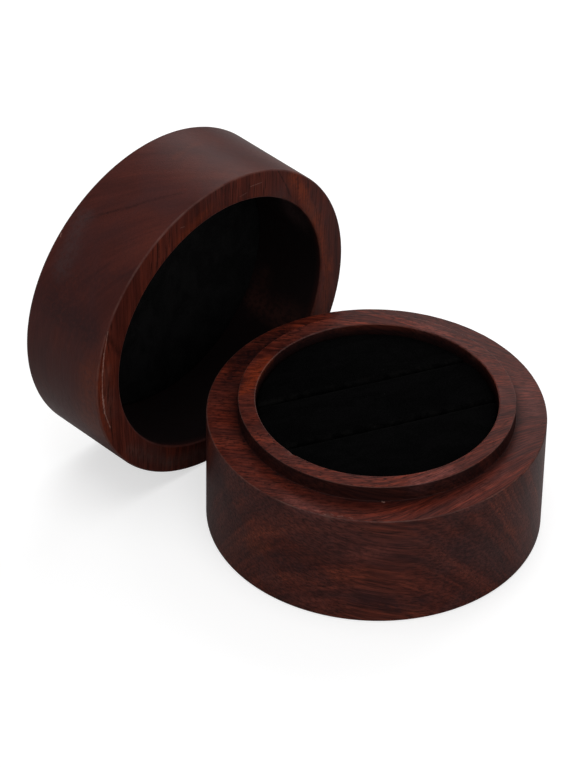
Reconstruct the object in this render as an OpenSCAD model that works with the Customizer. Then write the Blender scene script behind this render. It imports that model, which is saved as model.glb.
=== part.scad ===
// Round turned-wood ring box: a base with a spigot and a velvet ring pad, and its lift-off lid.
// The lid is off and stands on its round wall beside the base, with its mouth against the base.
// Millimetres. The origin is on the table, on the axis of the base. +Z is up, and +X runs along
// the axis of the standing lid, the way its mouth faces.

/* [Box] */
// Outside diameter of the base and the lid
body_d = 55; // [50:0.5:70]
// Height of the base's wall, from the table to the shoulder that the lid lands on
base_h = 20.8; // [17:0.2:34]
// Height of the lid, from its rim to its flat end
lid_h = 17.2; // [12:0.2:30]

/* [Spigot and recess] */
// Diameter of the spigot that the lid slips over
spigot_d = 44.8; // [42.4:0.2:47]
// Height of the spigot above the shoulder
spigot_h = 2.8; // [2.2:0.1:4.5]
// Diameter of the recess that holds the ring pad
recess_d = 39.2; // [34:0.2:41]
// Thickness of the wood under the ring pad
base_floor = 5; // [3:0.5:8]
// Radius of the hollow corner at the spigot's foot
spigot_fillet = 0.3; // [0.1:0.05:0.4]

/* [Lid] */
// Gap all round between the spigot and the inside of the lid
spigot_fit = 0.2; // [0.1:0.05:0.4]
// Thickness of the wood at the lid's flat end
lid_end = 2.1; // [1.6:0.1:4]

/* [Edges] */
// Rounding where the base's wall meets the table
foot_round = 0.6; // [0.2:0.1:2]
// Rounding of the shoulder's outer edge
shoulder_round = 0.35; // [0.1:0.05:1]
// Rounding of both edges of the spigot's rim
spigot_round = 0.3; // [0.1:0.05:0.6]
// Rounding of the outer edge of the lid's rim
lid_rim_round = 0.8; // [0.2:0.1:1.6]
// Rounding of the inner edge of the lid's rim
lid_mouth_round = 0.4; // [0.2:0.1:0.8]
// Rounding of the edge of the lid's flat end
lid_end_round = 0.7; // [0.2:0.1:1.8]

/* [Ring pad] */
// Gap between the ring pad and the wall of the recess
pad_fit = 0.15; // [0.1:0.05:0.4]
// Thickness of the stiff card under the cushions
card_t = 0.8; // [0.5:0.1:1.5]
// Depth of the cushions' crown below the spigot's rim
pad_drop = 1.2; // [0.6:0.1:3]
// Distance between the two slots that hold rings
slot_spacing = 11.5; // [9:0.5:14]
// Distance from the base's axis to the middle of the two slots
slot_shift = 0.8; // [0:0.1:2]
// Direction of the slots in the table plane, in degrees from +X
slot_angle = 66.5; // [0:0.5:180]
// Width of a slot between two cushions at half their height
slot_w = 0.3; // [0.2:0.05:0.8]
// Thickness of the velvet over the foam
velvet_t = 0.6; // [0.4:0.1:1]
// Gap between a foam core and its velvet
core_fit = 0.1; // [0.05:0.05:0.3]

/* [Cushion shape] */
// Rise of a cushion from its edge to its crown
crown_rise = 0.5; // [0.2:0.1:1.5]
// Rounding of a cushion's top edge
cushion_round = 1.1; // [0.8:0.1:2]
// How far a cushion's sides draw in at the top and the bottom
cushion_draw = 0.15; // [0:0.05:0.4]
// Roundness of a cushion's corners, where a higher number is squarer
corner_power = 36; // [12:1:60]

/* [Lid lining] */
// Gap between the lid's lining and the wall around it
lining_fit = 0.15; // [0.1:0.05:0.4]
// Thickness of the lining's card
lining_card_t = 0.3; // [0.2:0.05:0.8]
// Thickness of the lining's velvet
lining_velvet_t = 0.5; // [0.3:0.05:1]

/* [Lid beside the base] */
// Gap between the lid's rim and the wall of the base
lid_gap = 0.3; // [0.3:0.1:20]
// Distance that the lid's axis lies to the -Y side of the base's axis
lid_side_shift = 8; // [0:0.5:20]

/* [Hidden] */

// Colours of the oiled wood, the velvet, the foam and the card
wood_colour = [0.37, 0.21, 0.18];
velvet_colour = [0.07, 0.07, 0.07];
foam_colour = [0.25, 0.25, 0.26];
card_colour = [0.45, 0.42, 0.38];

// Radii and heights that follow from the sizes above
body_r = body_d / 2;
spigot_r = spigot_d / 2;
recess_r = recess_d / 2;
mouth_r = spigot_r + spigot_fit;
rim_z = base_h + spigot_h;
pad_r = recess_r - pad_fit;
pad_z = base_floor + card_t;
cushion_h = rim_z - pad_drop - pad_z - crown_rise;
core_inset = velvet_t + core_fit;
lining_r = mouth_r - lining_fit;
lining_card_r = lining_r - lining_velvet_t;

// Bands of the recess, across the slots, that the three cushions fill; an outer band ends at the wall
slot_back_y = slot_shift + slot_spacing / 2;
slot_front_y = slot_shift - slot_spacing / 2;
past_wall = 2 * recess_r;
band_back = [slot_back_y + slot_w / 2, past_wall];
band_middle = [slot_front_y + slot_w / 2, slot_back_y - slot_w / 2];
band_front = [-past_wall, slot_front_y - slot_w / 2];

// Overlap that cuts and joints reach past the faces they meet
slack = 0.5;
// Facets of the turned pieces and of the small arcs
$fn = 128;

// Points round a cushion, then its steps up the side, round the top edge and across the crown
VELVET_DETAIL = [72, 2, 3, 3];
FOAM_DETAIL = [48, 1, 2, 1];

// ---- Turned wood -------------------------------------------------------------------------

// Places children at a corner of an outline. They are drawn for a corner whose wood lies towards
// +X and +Y, and flip_x or flip_y turns them for wood that lies towards -X or -Y.
module at_corner(x, y, flip_x = false, flip_y = false) {
    translate([x, y])
        mirror([flip_x ? 1 : 0, 0])
            mirror([0, flip_y ? 1 : 0])
                children();
}

// The small piece between a square corner and an arc of radius r that rounds it
module corner_piece(r) {
    difference() {
        translate([-slack, -slack])
            square(r + slack);
        translate([r, r])
            circle(r);
    }
}

// Half section of the base, with the radius along X and the height along Y
module base_section() {
    difference() {
        union() {
            square([body_r, base_h]);
            square([spigot_r, rim_z]);
            at_corner(spigot_r, base_h)
                corner_piece(spigot_fillet);
        }
        translate([0, base_floor])
            square([recess_r, rim_z]);
        at_corner(body_r, 0, flip_x = true)
            corner_piece(foot_round);
        at_corner(body_r, base_h, flip_x = true, flip_y = true)
            corner_piece(shoulder_round);
        at_corner(spigot_r, rim_z, flip_x = true, flip_y = true)
            corner_piece(spigot_round);
        at_corner(recess_r, rim_z, flip_y = true)
            corner_piece(spigot_round);
    }
}

// Half section of the lid, with its flat end at height 0 and its rim at lid_h
module lid_section() {
    difference() {
        square([body_r, lid_h]);
        translate([0, lid_end])
            square([mouth_r, lid_h]);
        at_corner(body_r, 0, flip_x = true)
            corner_piece(lid_end_round);
        at_corner(body_r, lid_h, flip_x = true, flip_y = true)
            corner_piece(lid_rim_round);
        at_corner(mouth_r, lid_h, flip_y = true)
            corner_piece(lid_mouth_round);
    }
}

// ---- Ring pad ----------------------------------------------------------------------------

// Places children on the pad's card, with X along the slots and Y across them
module on_pad() {
    translate([0, 0, pad_z])
        rotate([0, 0, slot_angle])
            children();
}

// How far the direction way reaches from the point [0, y] to the edge of a band in a round recess
// of radius r. The two limits blend, which rounds the corners between them.
function band_reach(way, y, band, r) =
    let (
        band_edge = way[1] > 0 ? band[1] : band[0],
        across = way[1] / (band_edge - y),
        along = y * way[1],
        length_sq = way * way,
        to_wall = (sqrt(along * along - length_sq * (y * y - r * r)) - along) / length_sq
    )
    pow(pow(across, corner_power) + pow(1 / to_wall, corner_power), -1 / corner_power);

// Band of a cushion, cut off where it passes the wall of the recess
function held_band(band, r) = [max(band[0], -r), min(band[1], r)];

// Half the width of a cushion at its middle
function half_width(band, r) =
    let (held = held_band(band, r))
    (held[1] - held[0]) / 2;

// One level outline of a cushion: its full outline drawn in by inset, at height z
function cushion_ring(band, r, inset, z, points) =
    let (
        held = held_band(band, r),
        y = (held[0] + held[1]) / 2,
        half_w = half_width(band, r),
        half_l = sqrt(r * r - y * y),
        inner_band = [band[0] + inset, band[1] - inset]
    )
    [
        for (i = [0:points - 1])
            let (
                way = [half_l * cos(360 * i / points), half_w * sin(360 * i / points)],
                reach = band_reach(way, y, inner_band, r - inset)
            )
            [reach * way[0], y + reach * way[1], z]
    ];

// Inset and height of each level of a cushion: up the sides, round the top edge, over the crown.
// detail gives the points round it and the number of levels in each of the three stretches.
function cushion_levels(h, edge_r, draw, half_w, detail) =
    concat(
        [
            for (i = [0:detail[1]])
                [draw * (1 - sin(180 * i / detail[1])), (h - edge_r) * i / detail[1]]
        ],
        [
            for (i = [1:detail[2]])
                let (turn = 90 * i / detail[2])
                [draw + edge_r * (1 - cos(turn)), h - edge_r + edge_r * sin(turn)]
        ],
        [
            for (i = [1:detail[3]])
                let (
                    share = i / (detail[3] + 1),
                    flat_w = half_w - draw - edge_r
                )
                [draw + edge_r + flat_w * share, h + crown_rise * (1 - pow(1 - share, 2))]
        ]
    );

// Triangles between ring after ring of a closed stack, with its two end caps
function stack_faces(rings, points) =
    let (
        bottom = rings * points,
        top = bottom + 1,
        last = (rings - 1) * points
    )
    concat(
        [
            for (k = [0:rings - 2], i = [0:points - 1], half = [0:1])
                let (
                    a = k * points + i,
                    b = k * points + (i + 1) % points
                )
                half == 0 ? [a, a + points, b] : [b, a + points, b + points]
        ],
        [for (i = [0:points - 1]) [bottom, i, (i + 1) % points]],
        [for (i = [0:points - 1]) [last + i, top, last + (i + 1) % points]]
    );

// A soft block that fills a band of a round recess, standing on z = -under, with crowned top,
// rounded top edge and sides that draw in
module cushion(band, r, h, edge_r, detail, under = 0) {
    points = detail[0];
    half_w = half_width(band, r);
    levels = cushion_levels(h + under, edge_r, cushion_draw, half_w, detail);
    held = held_band(band, r);
    middle_y = (held[0] + held[1]) / 2;
    rings = [for (level = levels) each cushion_ring(band, r, level[0], level[1] - under, points)];
    ends = [[0, middle_y, -under], [0, middle_y, h + crown_rise]];
    polyhedron(points = concat(rings, ends), faces = stack_faces(len(levels), points));
}

// The same block drawn in by inset at its sides and its top
module inner_cushion(band, inset, under = 0) {
    cushion(
        [band[0] + inset, band[1] - inset],
        pad_r - inset,
        cushion_h - inset,
        cushion_round - velvet_t,
        FOAM_DETAIL,
        under
    );
}

// Foam core of one cushion
module foam_core(band) {
    color(foam_colour)
        on_pad()
            inner_cushion(band, core_inset);
}

// Velvet over one foam core, open where the core stands on the card
module velvet_cover(band) {
    color(velvet_colour)
        on_pad()
            difference() {
                cushion(band, pad_r, cushion_h, cushion_round, VELVET_DETAIL);
                inner_cushion(band, velvet_t, under = slack);
            }
}

// ---- Lid ---------------------------------------------------------------------------------

// Stands a piece that was drawn with its axis along +Z on its round wall beside the base
module beside_base() {
    translate([-body_r - lid_gap - lid_h, -lid_side_shift, body_r])
        rotate([0, 90, 0])
            children();
}

// ---- Pieces ------------------------------------------------------------------------------

module base_cup() {
    color(wood_colour)
        rotate_extrude()
            base_section();
}

module pad_card() {
    color(card_colour)
        translate([0, 0, base_floor])
            cylinder(h = card_t, r = pad_r);
}

module foam_back() {
    foam_core(band_back);
}

module foam_middle() {
    foam_core(band_middle);
}

module foam_front() {
    foam_core(band_front);
}

module velvet_back() {
    velvet_cover(band_back);
}

module velvet_middle() {
    velvet_cover(band_middle);
}

module velvet_front() {
    velvet_cover(band_front);
}

module lid_cup() {
    color(wood_colour)
        beside_base()
            rotate_extrude()
                lid_section();
}

module lining_card() {
    color(card_colour)
        beside_base()
            translate([0, 0, lid_end])
                cylinder(h = lining_card_t, r = lining_card_r);
}

// Velvet over the lining's card, wrapped round its edge down to the wood
module lining_velvet() {
    color(velvet_colour)
        beside_base()
            translate([0, 0, lid_end])
                difference() {
                    cylinder(h = lining_card_t + lining_velvet_t, r = lining_r);
                    translate([0, 0, -slack])
                        cylinder(h = lining_card_t + slack, r = lining_card_r);
                }
}

base_cup();
pad_card();
foam_back();
foam_middle();
foam_front();
velvet_back();
velvet_middle();
velvet_front();
lid_cup();
lining_card();
lining_velvet();
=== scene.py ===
"""Round ring box of turned walnut: a base with a velvet ring pad, and a lid that lifts off.

The lid is off and stands on its round wall beside the base, as the frame has it. Sizes in the
classes are in millimetres, and the meshes that they build are in metres.
"""

import logging
import math
from dataclasses import dataclass
from enum import Enum
from functools import partialmethod
from typing import Optional, Sequence, Union

import bmesh
import bpy
from mathutils import Matrix, Vector, noise


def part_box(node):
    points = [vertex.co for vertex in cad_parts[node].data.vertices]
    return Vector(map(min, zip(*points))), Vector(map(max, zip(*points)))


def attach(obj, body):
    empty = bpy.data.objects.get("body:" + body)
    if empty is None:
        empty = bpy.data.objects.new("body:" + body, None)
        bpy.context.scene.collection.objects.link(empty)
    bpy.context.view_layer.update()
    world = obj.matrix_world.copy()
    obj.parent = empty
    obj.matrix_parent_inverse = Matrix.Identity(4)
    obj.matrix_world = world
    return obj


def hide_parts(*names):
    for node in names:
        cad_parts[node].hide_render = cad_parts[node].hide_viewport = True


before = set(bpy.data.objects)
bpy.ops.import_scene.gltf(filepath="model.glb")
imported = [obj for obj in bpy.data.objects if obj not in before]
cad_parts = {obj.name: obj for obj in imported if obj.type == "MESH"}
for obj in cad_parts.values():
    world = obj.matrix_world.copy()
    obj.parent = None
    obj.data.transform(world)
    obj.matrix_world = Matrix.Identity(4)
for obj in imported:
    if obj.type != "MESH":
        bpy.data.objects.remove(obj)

logging.basicConfig(level=logging.INFO, format="%(name)s: %(message)s")
LOG = logging.getLogger("ring_box")

MM = 0.001
ARC_STEPS = 5
WORN, INNER, FACE, RUFFLED = "worn", "inner", "face", "ruffled"

BARE_WOOD = (0.30, 0.165, 0.135)
PURPLE = (0.034, 0.0115, 0.0115)
ORANGE = (0.135, 0.0270, 0.0110)
DARK_LINE = (0.016, 0.0050, 0.0045)
# Painted light, for the lit patch on the lid's hollow wall.
PAINTED_LIGHT_BROWN = (0.085, 0.031, 0.024)
DUSK = (0.060, 0.036, 0.036)
SHADOW = (0.012, 0.0060, 0.0075)
ROSE = (0.140, 0.0520, 0.0500)
TAN = (0.150, 0.0380, 0.0280)
PORE = (0.008, 0.0035, 0.003)
STREAK_SHADES = ((0.30, 0.27, 0.31), (1.0, 1.0, 1.0), (1.5, 1.4, 1.2))
FIBRE_SHADES = ((0.42, 0.38, 0.40), (0.95, 0.95, 0.95), (1.55, 1.45, 1.35))

Pair = tuple[float, float]
Colour = tuple[float, float, float]
Point = tuple[float, float, float]
Socket = bpy.types.NodeSocket
Input = Union[float, Sequence[float], Socket]
Material = bpy.types.Material
Mesh = bpy.types.Mesh
Piece = bpy.types.Object
BMesh = bmesh.types.BMesh


class Body(Enum):
    """The two pieces that a hand moves."""

    BASE = "base"
    LID = "lid"


class Slot(Enum):
    """Names of two material slots, wood and velvet. Nothing in the script uses them."""

    WOOD = "wood"
    VELVET = "velvet"


class Kind(Enum):
    """How crisp a mark in the wood is: the share of its width that has its full strength.

    A patch lies under the grain, and the others over it.
    """

    PATCH = 0.0
    GLAZE = 0.01
    LINE = 0.1
    SCRATCH = 0.35


def unit(value: float) -> float:
    """Returns the value, kept from 0 to 1."""
    return min(max(value, 0.0), 1.0)


# ---- Shader trees ----------------------------------------------------------------------------


class ShaderTree:
    """Adds nodes to one shader tree, and sets or links their inputs."""

    def __init__(self, tree: bpy.types.NodeTree) -> None:
        """Keeps the node tree of a material, a world or a group."""
        self.tree = tree

    def put(self, socket: Socket, value: Input) -> None:
        """Links an input to another socket, or gives it a plain value.

        Args:
            socket: The input.
            value: A socket, a number or a vector. A colour may leave out its alpha.
        """
        if isinstance(value, Socket):
            self.tree.links.new(value, socket)
        elif socket.type == "RGBA" and len(value) == 3:
            socket.default_value = (*value, 1.0)
        else:
            socket.default_value = value

    def node(self, kind: str, inputs: Optional[dict] = None, **settings: object) -> bpy.types.Node:
        """Adds one node.

        Args:
            kind: The node's type.
            inputs: Values or sockets by the input's name or number.
            **settings: The node's own settings.

        Returns:
            The new node.
        """
        node = self.tree.nodes.new(kind)
        for name, value in settings.items():
            setattr(node, name, value)
        for key, value in (inputs or {}).items():
            self.put(node.inputs[key], value)
        return node

    def math(self, operation: str, a: Input, b: Input = 0.0) -> Socket:
        """Returns the result of one Math node."""
        return self.node("ShaderNodeMath", {0: a, 1: b}, operation=operation).outputs[0]

    plus = partialmethod(math, "ADD")
    minus = partialmethod(math, "SUBTRACT")
    times = partialmethod(math, "MULTIPLY")
    over = partialmethod(math, "DIVIDE")

    def vector(self, operation: str, a: Input, b: Input) -> Socket:
        """Returns the vector that one Vector Math node puts out."""
        return self.node("ShaderNodeVectorMath", {0: a, 1: b}, operation=operation).outputs[0]

    def measure(self, operation: str, a: Input, b: Input) -> Socket:
        """Returns the number that one Vector Math node puts out."""
        return self.node("ShaderNodeVectorMath", {0: a, 1: b}, operation=operation).outputs[1]

    def scaled(self, vector: Input, factor: Input) -> Socket:
        """Returns a vector times a number."""
        inputs = {0: vector, "Scale": factor}
        return self.node("ShaderNodeVectorMath", inputs, operation="SCALE").outputs[0]

    def noise(
        self,
        point: Input,
        scale: Input = 1.0,
        detail: float = 2.0,
        roughness: float = 0.5,
        distortion: float = 0.0,
        stretch: Optional[Point] = None,
        colour: bool = False,
    ) -> Socket:
        """Adds a noise.

        Args:
            point: Where it is read.
            scale: Its scale.
            detail: Its octaves.
            roughness: How strong the fine octaves are.
            distortion: How far it is warped by itself.
            stretch: How dense it is along each axis, or None where it is even.
            colour: Whether the colour is wanted, and not the single value.

        Returns:
            The value or the colour.
        """
        point = self.vector("MULTIPLY", point, stretch) if stretch else point
        inputs = {"Vector": point, "Scale": scale, "Detail": detail}
        inputs.update({"Roughness": roughness, "Distortion": distortion})
        return self.node("ShaderNodeTexNoise", inputs).outputs[1 if colour else 0]

    def span(
        self, value: Input, low: float, high: float, to_low: float = 0.0, to_high: float = 1.0
    ) -> Socket:
        """Returns a value mapped smoothly, from to_low at and below low to to_high above high."""
        inputs = {0: value, 1: low, 2: high, 3: to_low, 4: to_high}
        return self.node("ShaderNodeMapRange", inputs, interpolation_type="SMOOTHSTEP").outputs[0]

    def mix(self, share: Input, a: Input, b: Input, blend: str = "MIX") -> Socket:
        """Returns the mix of two colours that has this share of b, laid onto a."""
        inputs = {0: share, 6: a, 7: b}
        return self.node("ShaderNodeMix", inputs, data_type="RGBA", blend_type=blend).outputs[2]

    def ramp(self, share: Input, colours: Sequence[Colour]) -> Socket:
        """Looks a value up in an evenly spaced row of colours.

        Args:
            share: The value, from 0 to 1.
            colours: The colours, in order.

        Returns:
            The colour.
        """
        node = self.node("ShaderNodeValToRGB", {0: share})
        elements = node.color_ramp.elements
        while len(elements) < len(colours):
            elements.new(1.0)
        for number, (element, colour) in enumerate(zip(elements, colours)):
            element.position = number / (len(colours) - 1)
            element.color = (*colour, 1.0)
        return node.outputs[0]

    def apart(self, point: Input) -> list[Socket]:
        """Returns the three numbers of a vector."""
        return list(self.node("ShaderNodeSeparateXYZ", {0: point}).outputs)

    def join(self, x: Input, y: Input, z: Input) -> Socket:
        """Returns the vector of three numbers."""
        return self.node("ShaderNodeCombineXYZ", {0: x, 1: y, 2: z}).outputs[0]

    def place(
        self,
        point: Input,
        axes: Optional[Matrix] = None,
        scale: float = 1.0,
        shift: Point = (0, 0, 0),
    ) -> Socket:
        """Turns, scales and shifts a point.

        Args:
            point: The point.
            axes: A rotation matrix whose rows are the new axes, or None for no turn.
            scale: The scale, before the shift.
            shift: The shift.

        Returns:
            The point in its new place.
        """
        turn = tuple(axes.to_euler("XYZ")) if axes else (0, 0, 0)
        inputs = {"Vector": point, "Location": shift, "Rotation": turn, "Scale": (scale,) * 3}
        return self.node("ShaderNodeMapping", inputs, vector_type="POINT").outputs[0]

    def object_point(self) -> Socket:
        """Returns the point on the piece, in millimetres."""
        return self.place(self.node("ShaderNodeTexCoord").outputs["Object"], scale=1 / MM)

    def attribute(self, name: str) -> Socket:
        """Returns a number that the mesh carries at its points."""
        return self.node("ShaderNodeAttribute", attribute_name=name).outputs["Fac"]

    def group(self, tree: bpy.types.NodeTree, inputs: dict) -> dict[str, Socket]:
        """Places a node group, and returns its outputs by name."""
        node = self.node("ShaderNodeGroup", inputs, node_tree=tree)
        return {socket.name: socket for socket in node.outputs}

    def emboss(self, shader: bpy.types.Node, height: Input, strength: float, depth: float) -> None:
        """Bumps a shader's surface by a height, to a depth in millimetres."""
        inputs = {"Height": height, "Strength": strength, "Distance": depth * MM}
        self.put(shader.inputs["Normal"], self.node("ShaderNodeBump", inputs).outputs[0])


class Effect:
    """A node group that more than one material uses. Subclasses say what is in it."""

    NAME = "effect"
    INPUTS: dict[str, Union[float, Point]] = {}
    OUTPUTS: tuple[str, ...] = ()

    @classmethod
    def tree(cls) -> bpy.types.NodeTree:
        """Returns the group, which is built the first time that it is asked for."""
        found = bpy.data.node_groups.get(cls.NAME)
        if found:
            return found
        tree = bpy.data.node_groups.new(cls.NAME, "ShaderNodeTree")
        for name, value in cls.INPUTS.items():
            kind = "NodeSocketFloat" if isinstance(value, float) else "NodeSocketVector"
            socket = tree.interface.new_socket(name, in_out="INPUT", socket_type=kind)
            socket.default_value = value
        for name in cls.OUTPUTS:
            tree.interface.new_socket(name, in_out="OUTPUT", socket_type="NodeSocketFloat")
        shader = ShaderTree(tree)
        given = {socket.name: socket for socket in tree.nodes.new("NodeGroupInput").outputs}
        made = cls.build(shader, given)
        last = tree.nodes.new("NodeGroupOutput")
        for name, value in made.items():
            shader.put(last.inputs[name], value)
        return tree

    @classmethod
    def build(cls, t: ShaderTree, given: dict) -> dict[str, Socket]:
        """Builds what is in the group.

        Args:
            t: The group's tree.
            given: The group's inputs by name.

        Returns:
            The sockets that the group puts out, by name.
        """
        raise NotImplementedError


class GrainFigure(Effect):
    """Walnut's growth layers, streaks, fibres, pores and clouds, through the whole blank.

    The point's X runs along the grain and its Z through the growth layers, in millimetres. The
    grains say how dense each noise is along, through and across, or along X, Y and Z.
    """

    NAME = "grain_figure"
    INPUTS = {"Point": (0.0, 0.0, 0.0), "Bend": 5.0, "Converge": 0.0, "Dip": 0.0, "Layer": 2.4}
    OUTPUTS = ("Layers", "Streaks", "Fibres", "Pores", "Clouds", "Relief")
    DRIFT_SCALE = 0.038
    DRIFT_SHARES = (0.4, 1.0, 1.0)
    PINCHED = (-6.0, 34.0)
    LAYER_GRAIN = (0.016, 1.0, 0.05)
    STREAK_GRAIN = (0.038, 1.9, 0.10)
    FIBRE_GRAIN = (0.10, 2.6, 2.6)
    PORE_GRAIN = (0.26, 4.4, 4.4)
    CLOUD_GRAIN = (0.06, 0.13, 0.13)
    FIBRE_HEIGHT = 0.35

    @classmethod
    def build(cls, t: ShaderTree, given: dict) -> dict[str, Socket]:
        """Builds one warped frame, and the noises that are read in it.

        Args:
            t: The group's tree.
            given: The group's inputs by name.

        Returns:
            The five masks and the height of the open grain.
        """
        point, dip = given["Point"], given["Dip"]
        drift = t.noise(point, cls.DRIFT_SCALE, 2.0, 0.45, colour=True)
        drift = t.vector("SUBTRACT", drift, (0.5, 0.5, 0.5))
        drift = t.scaled(t.vector("MULTIPLY", drift, cls.DRIFT_SHARES), given["Bend"])
        along, across, through = t.apart(t.vector("ADD", point, drift))
        pinch = t.times(t.span(along, *cls.PINCHED), given["Converge"])
        across = t.over(across, t.minus(1.0, pinch))
        steep = t.math("SQRT", t.plus(t.times(dip, dip), 1.0))
        layer = t.over(t.plus(through, t.times(across, dip)), steep)
        depth = t.over(layer, given["Layer"])

        layers = t.noise(t.join(along, depth, across), 1.0, 3.0, 0.55, stretch=cls.LAYER_GRAIN)
        streaks = t.noise(t.join(along, layer, across), 1.0, 3.0, 0.6, stretch=cls.STREAK_GRAIN)
        cut = t.join(along, across, through)
        fibres = t.noise(cut, 1.0, 3.0, 0.62, stretch=cls.FIBRE_GRAIN)
        cells = t.noise(cut, 1.0, 1.0, 0.5, stretch=cls.PORE_GRAIN)
        clouds = t.noise(cut, 1.0, 3.0, 0.55, 0.6, stretch=cls.CLOUD_GRAIN)
        pores = t.times(t.span(cells, 0.57, 0.66), t.span(layers, 0.38, 0.62, 0.35, 1.0))
        return {
            "Layers": t.span(layers, 0.22, 0.78),
            "Streaks": t.span(streaks, 0.34, 0.68),
            "Fibres": t.span(fibres, 0.3, 0.7),
            "Pores": pores,
            "Clouds": t.span(clouds, 0.32, 0.68),
            "Relief": t.minus(t.times(fibres, cls.FIBRE_HEIGHT), pores),
        }


class WornEdge(Effect):
    """Where an edge has lost its oil, broken up along its length."""

    NAME = "worn_edge"
    INPUTS = {"Point": (0.0, 0.0, 0.0), "Worn": 0.0, "Amount": 0.5}
    OUTPUTS = ("Mask",)
    FINE_SHARE = 0.35

    @classmethod
    def build(cls, t: ShaderTree, given: dict) -> dict[str, Socket]:
        """Breaks the edge's own mask up by a coarse and a fine noise.

        Args:
            t: The group's tree.
            given: The group's inputs by name.

        Returns:
            The mask.
        """
        coarse = t.noise(given["Point"], 0.35, 2.0)
        fine = t.noise(given["Point"], 3.5, 1.0)
        kept = t.span(t.plus(coarse, t.times(fine, cls.FINE_SHARE)), 0.5, 0.85, 0.25, 1.0)
        return {"Mask": t.times(t.times(kept, given["Worn"]), given["Amount"])}


class Scratch(Effect):
    """One mark from one point to another, in millimetres, with ragged sides."""

    NAME = "scratch"
    INPUTS = {"Point": (0.0,) * 3, "From": (0.0,) * 3, "To": (1.0,) * 3}
    INPUTS.update({"Width": 0.1, "Core": 0.35})
    OUTPUTS = ("Mask",)

    @classmethod
    def build(cls, t: ShaderTree, given: dict) -> dict[str, Socket]:
        """Measures how far a point lies from the mark's line.

        Args:
            t: The group's tree.
            given: The group's inputs by name.

        Returns:
            The mask.
        """
        point, start, width = given["Point"], given["From"], given["Width"]
        run = t.vector("SUBTRACT", given["To"], start)
        reach = t.vector("SUBTRACT", point, start)
        share = t.over(t.measure("DOT_PRODUCT", reach, run), t.measure("DOT_PRODUCT", run, run))
        share = t.math("MINIMUM", t.math("MAXIMUM", share, 0.0), 1.0)
        gap = t.measure("DISTANCE", reach, t.scaled(run, share))
        ragged = t.noise(point, t.over(0.5, width), 3.0, 0.6)
        edge = t.times(width, t.span(ragged, 0.3, 0.7, 0.5, 1.3))
        whole = t.span(t.over(gap, edge), given["Core"], 1.0, 1.0, 0.0)
        broken = t.span(t.noise(point, 1.3, 3.0, 0.65), 0.36, 0.58, 0.4, 1.0)
        return {"Mask": t.times(whole, broken)}


class Pile(Effect):
    """Short velvet pile: its tufts, the way that it is brushed, and lint on it."""

    NAME = "pile"
    INPUTS = {"Point": (0.0, 0.0, 0.0)}
    OUTPUTS = ("Tufts", "Brushed", "Lint")
    BRUSHING = (0.16, 0.32, 0.2)

    @classmethod
    def build(cls, t: ShaderTree, given: dict) -> dict[str, Socket]:
        """Builds tufts of about 0.2 mm, brushed patches and sparse lint.

        Args:
            t: The group's tree.
            given: The group's inputs by name.

        Returns:
            The three masks.
        """
        point = given["Point"]
        tufts = t.noise(point, 4.2, 3.0, 0.65)
        brushed = t.noise(point, 1.0, 3.0, 0.6, 0.8, stretch=cls.BRUSHING)
        specks = t.node("ShaderNodeTexVoronoi", {"Vector": point, "Scale": 0.9, "Randomness": 1.0})
        size = t.span(t.apart(specks.outputs["Color"])[0], 0.86, 1.0, 0.0, 0.13)
        return {
            "Tufts": t.span(tufts, 0.3, 0.7),
            "Brushed": t.span(brushed, 0.35, 0.65),
            "Lint": t.span(t.minus(size, specks.outputs["Distance"]), 0.0, 0.04),
        }


# ---- Finishes --------------------------------------------------------------------------------


def new_material(name: str) -> tuple[Material, ShaderTree, bpy.types.Node]:
    """Makes a material with one Principled shader.

    Args:
        name: The material's name.

    Returns:
        The material, its tree and the shader.
    """
    material = bpy.data.materials.new(name)
    material.use_nodes = True
    tree = ShaderTree(material.node_tree)
    return material, tree, material.node_tree.nodes["Principled BSDF"]


MarkTable = dict[tuple[Colour, Kind], Sequence[Sequence[float]]]


@dataclass(frozen=True)
class Mark:
    """A patch, glaze, dark line or scratch, in the row frame, in millimetres."""

    start: Point
    end: Point
    width: float
    strength: float
    colour: Colour = BARE_WOOD
    kind: Kind = Kind.SCRATCH


def marks_of(table: MarkTable) -> list[Mark]:
    """Returns a table's marks, in its order."""
    groups = table.items()
    return [Mark(r[:3], r[3:6], *r[6:], *group) for group, rows in groups for r in rows]


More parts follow.
